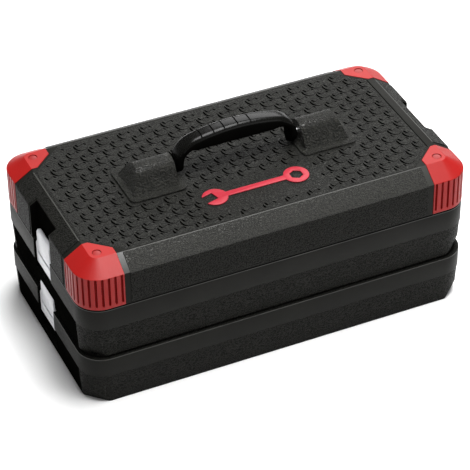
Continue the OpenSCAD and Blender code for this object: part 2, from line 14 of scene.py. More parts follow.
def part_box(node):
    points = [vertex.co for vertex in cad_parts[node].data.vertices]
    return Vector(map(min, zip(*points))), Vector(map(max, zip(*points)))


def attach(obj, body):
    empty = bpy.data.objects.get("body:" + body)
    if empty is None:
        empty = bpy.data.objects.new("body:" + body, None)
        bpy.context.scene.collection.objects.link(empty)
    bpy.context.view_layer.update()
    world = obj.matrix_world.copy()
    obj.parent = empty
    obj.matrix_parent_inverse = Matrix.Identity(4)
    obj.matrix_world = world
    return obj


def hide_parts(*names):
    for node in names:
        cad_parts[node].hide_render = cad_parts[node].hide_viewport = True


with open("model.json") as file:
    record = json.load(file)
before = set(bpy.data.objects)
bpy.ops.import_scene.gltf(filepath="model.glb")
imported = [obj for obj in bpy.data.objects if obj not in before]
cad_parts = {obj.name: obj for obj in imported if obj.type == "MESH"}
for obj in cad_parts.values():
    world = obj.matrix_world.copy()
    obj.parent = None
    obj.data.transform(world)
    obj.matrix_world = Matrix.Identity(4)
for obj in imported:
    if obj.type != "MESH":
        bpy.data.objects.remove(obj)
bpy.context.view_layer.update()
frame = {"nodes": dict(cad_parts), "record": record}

MM = 0.001
nodes = frame["nodes"]
record = frame["record"]
body_of = {n: b for b, members in record["behaviour"]["bodies"].items() for n in members}
slot_of = {p["node"]: p["material_slot"] for p in record["subparts"]}


def size_of(node):
    """Lowest and highest corner of a CAD node, in millimetres."""
    low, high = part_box(node)
    return low / MM, high / MM


lid_low, lid_high = size_of("lid_shell")
mid_low, mid_high = size_of("middle_tray_shell")
low_low, low_high = size_of("bottom_tray_shell")
HALF_L, HALF_W = lid_high.x, lid_high.y
CORNER = 26.0
LID_TOP, LID_BASE = lid_high.z, lid_low.z
BEVEL_IN, BEVEL_DOWN = 18.5, 12.0
SHOULDER = LID_TOP - BEVEL_DOWN
CAP_X, CAP_Y = 166.0, 67.5
CAP_CUT = (185.0, 85.0)
CHANNEL = 26.0
CHANNEL_TOP = 159.0


# ---------- materials ----------

def tree_of(name):
    """A new node material, with its tree, its shader and the object coordinates."""
    mat = bpy.data.materials.new(name)
    mat.use_nodes = True
    tree = mat.node_tree
    shader = tree.nodes["Principled BSDF"]
    coords = tree.nodes.new("ShaderNodeTexCoord")
    return mat, tree, shader, coords.outputs["Object"]


def noise(tree, coords, per_m, detail=3.0, roughness=0.55, stretch=None):
    """A noise texture in the object's own metres; stretch squeezes it along x, y or z."""
    node = tree.nodes.new("ShaderNodeTexNoise")
    node.inputs["Scale"].default_value = per_m
    node.inputs["Detail"].default_value = detail
    node.inputs["Roughness"].default_value = roughness
    if stretch:
        mapping = tree.nodes.new("ShaderNodeMapping")
        mapping.inputs["Scale"].default_value = stretch
        tree.links.new(coords, mapping.inputs["Vector"])
        coords = mapping.outputs["Vector"]
    tree.links.new(coords, node.inputs["Vector"])
    return node.outputs["Fac"]


def spread(tree, value, low, high, from_low=0.3, from_high=0.7):
    """Maps a noise value to the range low to high."""
    node = tree.nodes.new("ShaderNodeMapRange")
    for key, v in (("From Min", from_low), ("From Max", from_high), ("To Min", low), ("To Max", high)):
        node.inputs[key].default_value = v
    tree.links.new(value, node.inputs["Value"])
    return node.outputs["Result"]


def blend_colours(tree, value, low, high):
    node = tree.nodes.new("ShaderNodeMix")
    node.data_type = "RGBA"
    tree.links.new(value, node.inputs["Factor"])
    node.inputs[6].default_value = (*low, 1)
    node.inputs[7].default_value = (*high, 1)
    return node.outputs[2]


def add_bump(tree, shader, height, distance, strength=1.0):
    node = tree.nodes.new("ShaderNodeBump")
    node.inputs["Distance"].default_value = distance
    node.inputs["Strength"].default_value = strength
    tree.links.new(height, node.inputs["Height"])
    tree.links.new(node.outputs["Normal"], shader.inputs["Normal"])


def tint(colour, k):
    """A colour k times as light."""
    return tuple(min(1.0, c * k) for c in colour)


def plastic(name, colour, rough, grain_mm=None, grain_depth=0.0, vary=0.18, coat=0.0, gloss=0.5):
    """Moulded plastic with uneven gloss: a pebbled grain if grain_mm is given, else a mottling of vary."""
    mat, tree, shader, coords = tree_of(name)
    if grain_mm:
        fine = noise(tree, coords, 1 / (grain_mm * MM), 2, 0.65)
        pattern = spread(tree, fine, 0, 1, 0.38, 0.62)
        darkest, lightest, swing = 0.3, 1.9, 0.16
    else:
        fine = noise(tree, coords, 900, 2)
        pattern = spread(tree, noise(tree, coords, 28, 4), 0, 1)
        darkest, lightest, swing = 1 - vary, 1 + vary, 0.07
    tone = blend_colours(tree, pattern, tint(colour, darkest), tint(colour, lightest))
    tree.links.new(tone, shader.inputs["Base Color"])
    tree.links.new(spread(tree, fine, rough + swing, rough - swing), shader.inputs["Roughness"])
    shader.inputs["IOR"].default_value = 1.49
    shader.inputs["Specular IOR Level"].default_value = gloss
    shader.inputs["Coat Weight"].default_value = coat
    shader.inputs["Coat Roughness"].default_value = 0.2
    if grain_mm:
        add_bump(tree, shader, pattern, grain_depth * MM)
    else:
        add_bump(tree, shader, noise(tree, coords, 220, 3), 0.05 * MM, 0.35)
    return mat


def metal(name, colour, rough, brush=(1, 1, 1)):
    """Bare or plated metal, brushed along an axis that brush stretches."""
    mat, tree, shader, coords = tree_of(name)
    shader.inputs["Metallic"].default_value = 1.0
    broad = noise(tree, coords, 45, 4)
    tone = blend_colours(tree, spread(tree, broad, 0, 1), tint(colour, 0.9), tint(colour, 1.05))
    tree.links.new(tone, shader.inputs["Base Color"])
    streaks = noise(tree, coords, 700, 3, 0.6, brush)
    tree.links.new(spread(tree, streaks, rough - 0.08, rough + 0.08), shader.inputs["Roughness"])
    add_bump(tree, shader, streaks, 0.02 * MM, 0.4)
    return mat


def foam_material(name, colour):
    mat, tree, shader, coords = tree_of(name)
    cells = noise(tree, coords, 650, 4, 0.7)
    tone = blend_colours(tree, spread(tree, cells, 0, 1), tint(colour, 0.6), tint(colour, 1.35))
    tree.links.new(tone, shader.inputs["Base Color"])
    shader.inputs["Roughness"].default_value = 0.95
    shader.inputs["Sheen Weight"].default_value = 0.15
    add_bump(tree, shader, cells, 0.35 * MM, 0.8)
    return mat


BLACK = (0.008, 0.008, 0.0068)
RED = (0.25, 0.006, 0.005)
looks = {
    "case_black": plastic("case_black_grained", tint(BLACK, 1.1), 0.52, 1.5, 0.9, gloss=0.06),
    "insert_grey": plastic("insert_grey_formed", (0.05, 0.052, 0.056), 0.5, 0.9, 0.05),
    "foam": foam_material("foam_closed_cell", (0.03, 0.03, 0.034)),
    "cap_red": plastic("cap_red_moulded", RED, 0.42, vary=0.07, gloss=0.2),
    "screw_red": plastic("screw_red_painted", tint(RED, 0.8), 0.4, vary=0.07, gloss=0.3),
    "steel_pin": metal("pin_bright_zinc", (0.62, 0.62, 0.63), 0.22),
    "latch_grey": plastic("latch_grey_moulded", (0.6, 0.605, 0.63), 0.33, vary=0.05, coat=0.2),
    "emblem_red": plastic("emblem_red_relief", (0.3, 0.01, 0.022), 0.45, vary=0.08, gloss=0.3),
    "handle_black": plastic("handle_black_gloss", tint(BLACK, 0.3), 0.26, vary=0.15, gloss=0.13),
    "tool_chrome": metal("tool_satin_chrome", (0.74, 0.75, 0.77), 0.17),
    "tool_steel": metal("tool_ground_steel", (0.5, 0.5, 0.51), 0.3, (0.2, 1, 1)),
    "lever_black": plastic("lever_black_smooth", (0.02, 0.02, 0.02), 0.4),
    "tool_grip": plastic("tool_grip_red", (0.42, 0.02, 0.022), 0.5, 0.7, 0.05),
}
satin_black = plastic("case_black_satin", tint(BLACK, 1.1), 0.5, vary=0.15, gloss=0.06)
tread_black = plastic("case_black_tread", tint(BLACK, 1.25), 0.48, 1.5, 0.9, gloss=0.18)
mount_black = plastic("mount_black_grained", tint(BLACK, 1.7), 0.36, 1.7, 1.2, gloss=0.22)
bevel_lit_black = plastic("case_black_bevel_painted_light", tint(BLACK, 1.9), 0.45, 1.3, 0.6, gloss=0.26)
edge_highlight_black = plastic("case_black_painted_edge_highlight", tint(BLACK, 2.6), 0.42, vary=0.3, gloss=0.3)
strip_lit_black = plastic("case_black_smooth_strip_painted_light", tint(BLACK, 2.2), 0.42, vary=0.1, gloss=0.5)
groove_shade_red = plastic("cap_red_painted_groove_shade", tint(RED, 0.55), 0.6, vary=0.1, gloss=0.05)
grip_black = plastic("tool_grip_black_ribs", (0.02, 0.02, 0.021), 0.55, 0.6, 0.05)
underside_shade_black = plastic("handle_black_painted_underside_shade", tint(BLACK, 0.2), 0.8, vary=0.2, gloss=0.02)
# painted shade: a darker, dull black for the latch channels, the lid's parting line and the grooves of the
# tread marks
painted_shade_black = plastic("case_black_painted_shade", tint(BLACK, 0.25), 0.85, vary=0.2, gloss=0.0)


# ---------- mesh helpers ----------

def paint(obj, mat):
    """Sets the first material; faces that were given another one keep it."""
    if obj.data.materials:
        obj.data.materials[0] = mat
    else:
        obj.data.materials.append(mat)


def paint_faces(obj, mat, chosen):
    """Gives mat to the faces that chosen(centre in millimetres, normal) picks."""
    obj.data.materials.append(mat)
    index = len(obj.data.materials) - 1
    for face in obj.data.polygons:
        if chosen(face.center / MM, face.normal):
            face.material_index = index


def linked(name, mesh):
    obj = bpy.data.objects.new(name, mesh)
    bpy.context.scene.collection.objects.link(obj)
    return obj


def loose(name, verts, faces):
    """A mesh object from points in millimetres, not yet on any body."""
    mesh = bpy.data.meshes.new(name)
    mesh.from_pydata([Vector(v) * MM for v in verts], [], faces)
    tidy_normals(mesh)
    return linked(name, mesh)


def make(name, verts, faces, body, slot, mat=None, replaced=()):
    """A new piece from points in millimetres."""
    return settle(loose(name, verts, faces), body, slot, mat, replaced)


def settle(obj, body, slot, mat=None, replaced=()):
    """Paints a piece with its slot's look unless mat is given, hangs it on its body's empty and hides the CAD
    nodes it replaces.
    """
    paint(obj, mat or looks[slot])
    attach(obj, body)
    if replaced:
        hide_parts(*replaced)
    return obj


def tidy_normals(mesh):
    """Merges double points and turns every face outwards."""
    bm = bmesh.new()
    bm.from_mesh(mesh)
    bmesh.ops.remove_doubles(bm, verts=bm.verts, dist=0.002 * MM)
    bmesh.ops.recalc_face_normals(bm, faces=bm.faces)
    bm.to_mesh(mesh)
    bm.free()


def apply_modifiers(obj):
    graph = bpy.context.evaluated_depsgraph_get()
    mesh = bpy.data.meshes.new_from_object(obj.evaluated_get(graph))
    obj.modifiers.clear()
    obj.data = mesh


def smooth(obj, degrees=35):
    obj.data.shade_smooth()
    obj.data.set_sharp_from_angle(angle=math.radians(degrees))


def round_edges(obj, width, segments=2, degrees=30):
    mod = obj.modifiers.new("round", "BEVEL")
    mod.width = width * MM
    mod.segments = segments
    mod.limit_method = "ANGLE"
    mod.angle_limit = math.radians(degrees)
    mod.use_clamp_overlap = True
    mod.miter_outer = "MITER_ARC"
    apply_modifiers(obj)
    smooth(obj)


def weigh_normals(obj):
    """Lets the large faces set the shading, so small cuts beside them leave no streaks."""
    mod = obj.modifiers.new("weigh", "WEIGHTED_NORMAL")
    mod.keep_sharp = True
    mod.weight = 80
    apply_modifiers(obj)


def copy_of(node, name):
    """A loose copy of a CAD node's mesh, its flat faces merged, ready for mesh work."""
    mesh = nodes[node].data.copy()
    bm = bmesh.new()
    bm.from_mesh(mesh)
    bmesh.ops.remove_doubles(bm, verts=bm.verts, dist=0.003 * MM)
    bmesh.ops.dissolve_limit(bm, angle_limit=math.radians(0.6), verts=bm.verts, edges=bm.edges)
    bm.to_mesh(mesh)
    bm.free()
    return linked(name, mesh)


def cut(obj, cutter):
    """Takes the cutter away from obj, and removes it."""
    mod = obj.modifiers.new("cut", "BOOLEAN")
    mod.operation = "DIFFERENCE"
    mod.solver = "EXACT"
    mod.object = cutter
    apply_modifiers(obj)
    bpy.data.objects.remove(cutter)


def rounded(name, node, width, segments=2, mat=None):
    """The usual piece: a CAD node with its moulded or ground edges rounded."""
    obj = copy_of(node, name)
    round_edges(obj, width, segments)
    return settle(obj, body_of[node], slot_of[node], mat, (node,))


def prism(outline, z0, z1):
    """Points and faces of a straight prism on an outline."""
    n = len(outline)
    verts = [(x, y, z) for z in (z0, z1) for x, y in outline]
    faces = [tuple(range(n))[::-1], tuple(range(n, 2 * n))]
    faces += [(i, (i + 1) % n, n + (i + 1) % n, n + i) for i in range(n)]
    return verts, faces


def merged(parts):
    """Joins several (verts, faces) into one."""
    verts, faces = [], []
    for v, f in parts:
        base = len(verts)
        verts += v
        faces += [tuple(base + i for i in face) for face in f]
    return verts, faces


def grid_solid(rings):
    """A solid lofted through rings of equal length, with flat ends."""
    n = len(rings[0])
    verts = [p for ring in rings for p in ring]
    faces = []
    for k in range(len(rings) - 1):
        for i in range(n):
            j = (i + 1) % n
            faces.append((k * n + i, k * n + j, (k + 1) * n + j, (k + 1) * n + i))
    faces += [tuple(range(n))[::-1], tuple(range((len(rings) - 1) * n, len(rings) * n))]
    return verts, faces


def rounded_rect(half_x, half_y, radius, arc=8, centre=(0, 0)):
    """Outline points of a rounded rectangle, anticlockwise."""
    points = []
    for k, (sx, sy) in enumerate(((1, 1), (-1, 1), (-1, -1), (1, -1))):
        for i in range(arc + 1):
            a = (k + i / arc) * math.pi / 2
            points.append((centre[0] + sx * (half_x - radius) + radius * math.cos(a),
                           centre[1] + sy * (half_y - radius) + radius * math.sin(a)))
    return points


def wall_path(half_x, half_y, radius, gap, arc=10):
    """Points and outward normals along the back half of the case, from one end channel to the other."""
    path = [((half_x, gap), (1, 0))]
    for k, sx in ((0, 1), (1, -1)):
        for i in range(arc + 1):
            a = (k + i / arc) * math.pi / 2
            normal = (math.cos(a), math.sin(a))
            path.append(((sx * (half_x - radius) + radius * normal[0],
                          half_y - radius + radius * normal[1]), normal))
    return path + [((-half_x, gap), (-1, 0))]


def sweep(path, profile, turned=False):
    """A solid that carries a closed profile of (outward, z) along a path of (point, normal)."""
    sign = -1 if turned else 1
    rings = [[(x + nx * out, sign * (y + ny * out), z) for out, z in profile] for (x, y), (nx, ny) in path]
    return grid_solid(rings)


# ---------- case ----------

def pull_in(obj, z_low, z_high, at_low, at_high, half_l=HALF_L, half_w=HALF_W, radius=CORNER):
    """Gives the outer wall below z_high its draft: at_high in at the top, at_low in at the bottom."""
    bm = bmesh.new()
    bm.from_mesh(obj.data)
    geometry = bm.verts[:] + bm.edges[:] + bm.faces[:]
    bmesh.ops.bisect_plane(bm, geom=geometry, plane_co=(0, 0, z_high * MM), plane_no=(0, 0, 1))
    for v in bm.verts:
        x, y, z = v.co / MM
        if not z_low - 0.01 <= z <= z_high + 0.01:
            continue
        cx, cy = half_l - radius, half_w - radius
        dx, dy = max(0.0, abs(x) - cx), max(0.0, abs(y) - cy)
        reach = math.hypot(dx, dy) if dx and dy else max(dx, dy)
        if reach < radius - 0.4 or reach > radius + 0.4:
            continue
        k = (at_high + (at_low - at_high) * (z_high - z) / (z_high - z_low)) / reach
        v.co.x -= math.copysign(dx * k, x) * MM
        v.co.y -= math.copysign(dy * k, y) * MM
    bm.to_mesh(obj.data)
    bm.free()


def paint_channel_shade(obj, half_width, floor_x):
    """Paints the latch channel's inside with the rough, dark plastic that stands in for its shade: painted
    shade.
    """
    paint_faces(obj, painted_shade_black, lambda c, normal: (
        abs(c.y) < half_width + 0.3 and floor_x - 0.3 < abs(c.x) < HALF_L - 0.3 and abs(normal.z) < 0.5))


def seam(name, profile, gap, body, mat):
    """A thin line carried round both halves of the case."""
    path = wall_path(HALF_L, HALF_W, CORNER, gap)
    for side, turned in (("back", False), ("front", True)):
        smooth(make(f"{name}_{side}", *sweep(path, profile, turned), body, "case_black", mat), 40)


RIM_GAP = 22.6
rim_levels = {"bottom": (34.0, low_high.z), "middle": (92.5, mid_high.z)}
for level, node in (("bottom", "bottom_tray_shell"), ("middle", "middle_tray_shell")):
    rim_z, top_z = rim_levels[level]
    base_z = low_low.z if level == "bottom" else mid_low.z + 6.5
    shell = copy_of(node, f"{level}_tray_grained_shell")
    pull_in(shell, base_z, rim_z, 2.3, 0.5)
    round_edges(shell, 0.8, 2)
    settle(shell, body_of[node], slot_of[node], None, (node,))
    paint_channel_shade(shell, 22.0, 197.5)
    band = [(-1.2, rim_z), (0.0, rim_z), (0.2, rim_z + 0.4), (0.2, top_z - 1.1), (0.1, top_z - 0.45),
            (-0.2, top_z + 0.02), (-1.2, top_z + 0.02)]
    seam(f"{level}_tray_rim_band", band, RIM_GAP, body_of[node], satin_black)
    # A lighter line along each tray's top edge: a painted highlight.
    lip = [(-0.6, top_z - 0.75), (0.16, top_z - 0.95), (0.2, top_z - 0.6), (0.12, top_z - 0.15),
           (-0.6, top_z + 0.04)]
    seam(f"{level}_tray_worn_lip", lip, RIM_GAP, body_of[node], edge_highlight_black)


# ---------- lid ----------

lid = copy_of("lid_shell", "lid_moulded_shell")
FLAT_Y = 93.2
CAP_SIDE = Vector((CAP_CUT[1] - CAP_Y, CAP_CUT[0] - CAP_X)).normalized()
CAP_REACH = CAP_SIDE.dot(Vector((CAP_X, CAP_CUT[1])))
PANEL_DEEP = 1.3


def panel_outline(left, right, depth, cap_gap):
    """The tread panel's outline: its two ends, its sides at y = +-depth, and slants beside the caps."""
    reach = CAP_REACH - cap_gap

    def corner(end):
        """The two points of the slant beside a cap, for the panel's end at x = end."""
        on_end = (end, (reach - CAP_SIDE.x * end) / CAP_SIDE.y)
        on_side = ((reach - CAP_SIDE.y * depth) / CAP_SIDE.x, depth)
        return on_end, on_side

    a, b = corner(right)
    c, d = corner(left)
    return [a, b, (-d[0], d[1]), (-c[0], c[1]), (-c[0], -c[1]), (-d[0], -d[1]), (b[0], -b[1]), (a[0], -a[1])]


round_edges(lid, 0.35, 2)
cut(lid, loose("panel_cutter", *prism(panel_outline(190.8, 183.5, FLAT_Y + 0.1, 1.8),
                                      LID_TOP - PANEL_DEEP, LID_TOP + 4)))
smooth(lid)
settle(lid, "lid", "case_black", satin_black, ("lid_shell",))
paint_channel_shade(lid, CHANNEL, 201.0)
# The front and back bevel faces left bare beside the caps: a real smooth strip, made lighter and glossier as
# painted light on the bevel.
paint_faces(lid, strip_lit_black, lambda c, normal: abs(c.y) > FLAT_Y and 0.5 < normal.z < 0.97)
# A thin dull black strip just proud of the lid's foot, where it meets the middle tray: a painted shadow of
# the parting gap.
LINE_LOW, LINE_HIGH = LID_BASE + 0.06, LID_BASE + 1.1
seam("lid_parting_painted_shadow", [(-0.5, LINE_LOW), (0.1, LINE_LOW), (0.1, LINE_HIGH), (-0.5, LINE_HIGH)],
     CHANNEL + 1.0, "lid", painted_shade_black)

# marks of the tread: overlapping scales, each drawn by three strokes of (x, y, half width) in millimetres
TREAD_PITCH = (11.95, 20.1)
TREAD_START = (-4.7, -4.6)
STROKES = (
    ((-3.2, 0.8, 0.35), (-3.3, -1.2, 0.8), (-3.2, -3.0, 1.02), (-2.8, -5.0, 1.08), (-1.9, -6.9, 0.98),
     (-0.5, -8.5, 0.72), (1.4, -9.7, 0.38), (4.2, -10.2, 0.16), (6.8, -9.3, 0.13), (9.1, -7.2, 0.12)),
    ((-0.8, 2.7, 0.5), (-0.35, 1.2, 0.95), (0.3, -0.5, 1.0), (0.8, -1.6, 0.7), (1.4, -2.0, 0.28),
     (2.9, -1.3, 0.13), (5.0, 0.0, 0.12), (7.1, 0.9, 0.12)),
    ((-4.0, -8.5, 0.35), (-3.6, -9.4, 0.74), (-2.9, -10.6, 0.76), (-2.2, -11.6, 0.4)),
)
BADGE_FIELD = (-61.0, 64.0, -77.0, -34.0)
FOOT_HALF = 30.0
FOOT_X = 93.0
CAP_MARGIN = 2.4


def stroke_outline(stroke, at, shrink=0.0):
    """The closed outline round a stroke's centre line, as (x, y, share of the full depth)."""
    left, right = [], []
    last = len(stroke) - 1
    for i, (x, y, w) in enumerate(stroke):
        x0, y0, _ = stroke[max(0, i - 1)]
        x1, y1, _ = stroke[min(last, i + 1)]
        d = math.hypot(x1 - x0, y1 - y0)
        nx, ny = -(y1 - y0) / d, (x1 - x0) / d
        share = min(1.0, w / 0.7)
        w = max(0.05, w - shrink)
        left.append((at[0] + x + nx * w, at[1] + y + ny * w, share))
        right.append((at[0] + x - nx * w, at[1] + y - ny * w, share))
    return left[::-1] + right


def in_panel(x, y):
    """True inside the sheet's edges and clear of the corner caps."""
    near_cap = CAP_SIDE.dot(Vector((abs(x), abs(y)))) > CAP_REACH - 1.8 - CAP_MARGIN
    return -186.4 < x < 181.2 and abs(y) < FLAT_Y - 1.2 and not near_cap


def is_clear(point):
    """True where a mark may lie: on the panel, and off the badge's field and the handle's feet."""
    x, y = point[:2]
    on_badge = BADGE_FIELD[0] < x < BADGE_FIELD[1] and BADGE_FIELD[2] < y < BADGE_FIELD[3]
    on_foot = abs(abs(x) - FOOT_X) < FOOT_HALF + 1.6 and abs(y) < FOOT_HALF + 1.6
    return in_panel(x, y) and not on_badge and not on_foot


def tread_marks():
    """Every stroke that fits on the panel, its tail shortened where it would run off."""
    found = []
    columns = int(HALF_L / TREAD_PITCH[0]) + 1
    rows = int(HALF_W / TREAD_PITCH[1]) + 1
    for i in range(-columns, columns + 1):
        for j in range(-rows, rows + 1):
            at = (TREAD_START[0] + i * TREAD_PITCH[0],
                  TREAD_START[1] + (j + 0.5 * (i % 2)) * TREAD_PITCH[1])
            for stroke in STROKES:
                while len(stroke) > 2 and not all(map(is_clear, stroke_outline(stroke, at))):
                    stroke = stroke[:-1]
                if all(map(is_clear, stroke_outline(stroke, at))):
                    found.append((stroke, at))
    return found


def tread_panel():
    """The tread sheet: its top is filled round the marks, whose sides slope down to a rough floor; sides and
    floors carry painted shade.
    """
    bm = bmesh.new()
    chamfer, deep = 0.2, 1.2

    def loop(points):
        verts = [bm.verts.new(Vector(p) * MM) for p in points]
        return verts, [bm.edges.new((verts[i], verts[(i + 1) % len(verts)])) for i in range(len(verts))]

    def join(upper, lower, index=0):
        for i in range(len(upper)):
            j = (i + 1) % len(upper)
            bm.faces.new((upper[i], upper[j], lower[j], lower[i])).material_index = index

    rim, edges = loop([(*p, LID_TOP) for p in panel_outline(187.6, 182.2, FLAT_Y - 0.1, 2.2)])
    foot, _ = loop([(*p, LID_TOP - PANEL_DEEP) for p in panel_outline(190.6, 182.4, FLAT_Y, 2.0)])
    join(rim, foot)
    bm.faces.new(foot)
    for stroke, at in tread_marks():
        mouth, mouth_edges = loop([(x, y, LID_TOP) for x, y, _ in stroke_outline(stroke, at, -chamfer * 0.5)])
        edges += mouth_edges
        floor, _ = loop([(x, y, LID_TOP - deep * share)
                         for x, y, share in stroke_outline(stroke, at, chamfer)])
        # index 1: the marks' sides and floors take the dark plastic, painted shade in the grooves
        join(mouth, floor, 1)
        bm.faces.new(floor).material_index = 1
    bmesh.ops.triangle_fill(bm, use_beauty=True, use_dissolve=False, edges=edges, normal=(0, 0, 1))
    bmesh.ops.recalc_face_normals(bm, faces=bm.faces)
    mesh = bpy.data.meshes.new("lid_tread_panel")
    bm.to_mesh(mesh)
    bm.free()
    obj = linked("lid_tread_panel", mesh)
    settle(obj, "lid", "case_black", tread_black)
    obj.data.materials.append(painted_shade_black)
    smooth(obj, 20)


tread_panel()


# ---------- raised grained panels on the lid's bevel and walls ----------

def lid_panel(name, section, start, end, along_x, flip, thick=0.4, sunk=0.8):
    """A grained skin along the lid: section is its (outward, z) line, start and end where it runs."""
    outer, inner = [], []
    for i, (out, z) in enumerate(section):
        x0, z0 = section[max(0, i - 1)]
        x1, z1 = section[min(len(section) - 1, i + 1)]
        d = math.hypot(x1 - x0, z1 - z0)
        nx, nz = -(z1 - z0) / d, (x1 - x0) / d
        outer.append((out - nx * thick, z - nz * thick))
        inner.append((out + nx * sunk, z + nz * sunk))
    ring = outer + inner[::-1]
    rings = []
    for t in (start, end):
        rings.append([(t, flip * out, z) if along_x else (flip * out, t, z) for out, z in ring])
    obj = loose(name, *grid_solid(rings))
    round_edges(obj, 0.12, 1, 25)
    settle(obj, "lid", "case_black")
    # On the front and back skins, faces turned up get a lighter, glossier black: painted light on the bevel.
    if along_x:
        obj.data.materials.append(bevel_lit_black)
        for face in obj.data.polygons:
            face.material_index = int(face.normal.z > 0.3)


def lid_section(half, z_from, z_to):
    """The lid's outer line, from z_from down to z_to, as (outward, z)."""
    slope = BEVEL_DOWN / BEVEL_IN
    points = [(half - max(0.0, z_from - SHOULDER) / slope, z_from)]
    if z_to < SHOULDER:
        if z_from > SHOULDER:
            points += [(half - 0.3, SHOULDER + 0.3 * slope), (half, SHOULDER - 0.5)]
        points.append((half, z_to))
    else:
        points.append((half - (z_to - SHOULDER) / slope, z_to))
    return points


EDGE_LINE = ((-0.7, LID_TOP - 0.8), (-0.7, LID_TOP - 0.02), (0.0, LID_TOP + 0.1), (0.6, LID_TOP - 0.1),
             (0.85, LID_TOP - 0.5), (0.6, LID_TOP - 1.2))
STRIP = 6.0
TOP_EDGE, LIP = 0.5, 3.0
EDGE_SET_OUT = 0.5
run_x, run_y = CAP_X - STRIP, CAP_Y - STRIP
channel_side = CHANNEL + 2.2


def top_edge(side, rings):
    """A lighter, glossier line along one edge of the lid's top: a painted highlight."""
    smooth(make(f"lid_top_edge_{side}", *grid_solid(rings), "lid", "case_black", edge_highlight_black), 50)


for side, flip in (("front", -1), ("back", 1)):
    lid_panel(f"lid_grained_skin_{side}", lid_section(HALF_W, LID_TOP - TOP_EDGE, LID_BASE + LIP),
              -run_x, run_x, True, flip)
    y = flip * (HALF_W - BEVEL_IN + EDGE_SET_OUT)
    top_edge(side, [[(x, y + flip * out, z) for out, z in EDGE_LINE] for x in (-run_x, run_x)])
for side, flip in (("right", 1), ("left", -1)):
    for part, y0, y1 in (("front", -run_y, -channel_side), ("back", channel_side, run_y)):
        lid_panel(f"lid_grained_skin_{side}_{part}", lid_section(HALF_L, LID_TOP - TOP_EDGE, LID_BASE + LIP),
                  y0, y1, False, flip)
    x = flip * (HALF_L - BEVEL_IN + EDGE_SET_OUT)
    top_edge(side, [[(x + flip * out, y, z) for out, z in EDGE_LINE] for y in (-run_y, run_y)])
    lid_panel(f"lid_grained_skin_{side}_middle", lid_section(HALF_L, LID_TOP - TOP_EDGE, CHANNEL_TOP + 0.6),
              -channel_side, channel_side, False, flip)


# ---------- corner caps ----------

FLUTE_RADIUS, FLUTE_PITCH = 1.35, 6.6
FLUTE_LINE = ((120.6, 0.3), (120.9, 0.8), (121.8, 1.15), (123.2, FLUTE_RADIUS), (152.4, FLUTE_RADIUS),
              (153.8, 1.1), (154.5, 0.3))


def flute_cutters(sx, sy):
    """Upright grooves round a cap's corner: each follows FLUTE_LINE's (z, radius)."""
    rim = HALF_L + 0.5
    straight_y = HALF_W - CORNER - CAP_Y
    straight_x = HALF_L - CORNER - CAP_X
    corner = CORNER + 0.5
    arc = corner * math.pi / 2
    total = straight_y + arc + straight_x
    count = int((total - 4) / FLUTE_PITCH) + 1
    first = (total - (count - 1) * FLUTE_PITCH) / 2
    parts = []
    for k in range(count):
        s = first + k * FLUTE_PITCH
        if s < straight_y:
            x, y, a = rim, CAP_Y + s, 0.0
        elif s < straight_y + arc:
            a = (s - straight_y) / corner
            x = HALF_L - CORNER + corner * math.cos(a)
            y = HALF_W - CORNER + corner * math.sin(a)
        else:
            a = math.pi / 2
            x, y = HALF_L - CORNER - (s - straight_y - arc), HALF_W + 0.5
        normal = Vector((math.cos(a), math.sin(a)))
        side = Vector((-normal.y, normal.x))
        rings = []
        for z, r in FLUTE_LINE:
            ring = []
            for i in range(12):
                t = i * math.tau / 12
                p = Vector((x, y)) + normal * (0.35 + 1.5 * r * math.cos(t)) + side * (r * math.sin(t))
                ring.append((sx * p.x, sy * p.y, z))
            rings.append(ring)
        parts.append(grid_solid(rings))
    return merged(parts)


def in_flute(c, _):
    """True for the faces of a cap's grooves, which lie inside its upright wall."""
    dx, dy = max(0.0, abs(c.x) - HALF_L + CORNER), max(0.0, abs(c.y) - HALF_W + CORNER)
    return math.hypot(dx, dy) < CORNER - 0.15 and c.z < SHOULDER


for sy, depth in ((-1, "front"), (1, "back")):
    for sx, side in ((-1, "left"), (1, "right")):
        node = f"corner_cap_{depth}_{side}"
        cap = copy_of(node, f"fluted_{node}")
        round_edges(cap, 0.55, 2)
        cut(cap, loose("flutes", *flute_cutters(sx, sy)))
        smooth(cap, 28)
        weigh_normals(cap)
        settle(cap, "lid", "cap_red", None, (node,))
        # The flutes' faces get a darker, duller red: painted shade in the grooves.
        paint_faces(cap, groove_shade_red, in_flute)

def turned(at, profile, around=32):
    """Points and faces of a piece turned about an upright axis, from its (radius, z) line."""
    angles = [i * math.tau / around for i in range(around)]
    return grid_solid([[(at[0] + r * math.cos(a), at[1] + r * math.sin(a), z) for a in angles]
                       for r, z in profile])


SCREW_LINE = ((1.5, 157.2), (1.5, 164.65), (4.2, 164.65), (4.2, 165.6), (3.9, 165.9), (2.6, 166.1),
              (0.4, 166.2))
SCREW_AT = (183.0, 86.0)
screws = [turned((sx * SCREW_AT[0], sy * SCREW_AT[1]), SCREW_LINE) for sx in (-1, 1) for sy in (-1, 1)]
heads = make("cap_screw_heads", *merged(screws), "lid", "screw_red", None, ("corner_cap_screws",))
smooth(heads, 35)


# ---------- handle ----------

grip_low, grip_high = size_of("handle_grip")
PIVOT = 178.5
GRIP_HALF_D = (grip_high.y - grip_low.y) / 2


def grip_section(outer, inner, half_d, radius, arc=5):
    """A rounded section between an outer and an inner point of the arch, as points in the arch's frame."""
    outer, inner = Vector(outer), Vector(inner)
    mid = (outer + inner) / 2
    half = (outer - inner).length / 2
    direction = (outer - inner).normalized()
    r = min(radius, half * 0.95, half_d * 0.95)
    ring = []
    for px, py in rounded_rect(half, half_d, r, arc):
        p = mid + direction * px
        ring.append((p.x, py, p.y))
    return ring


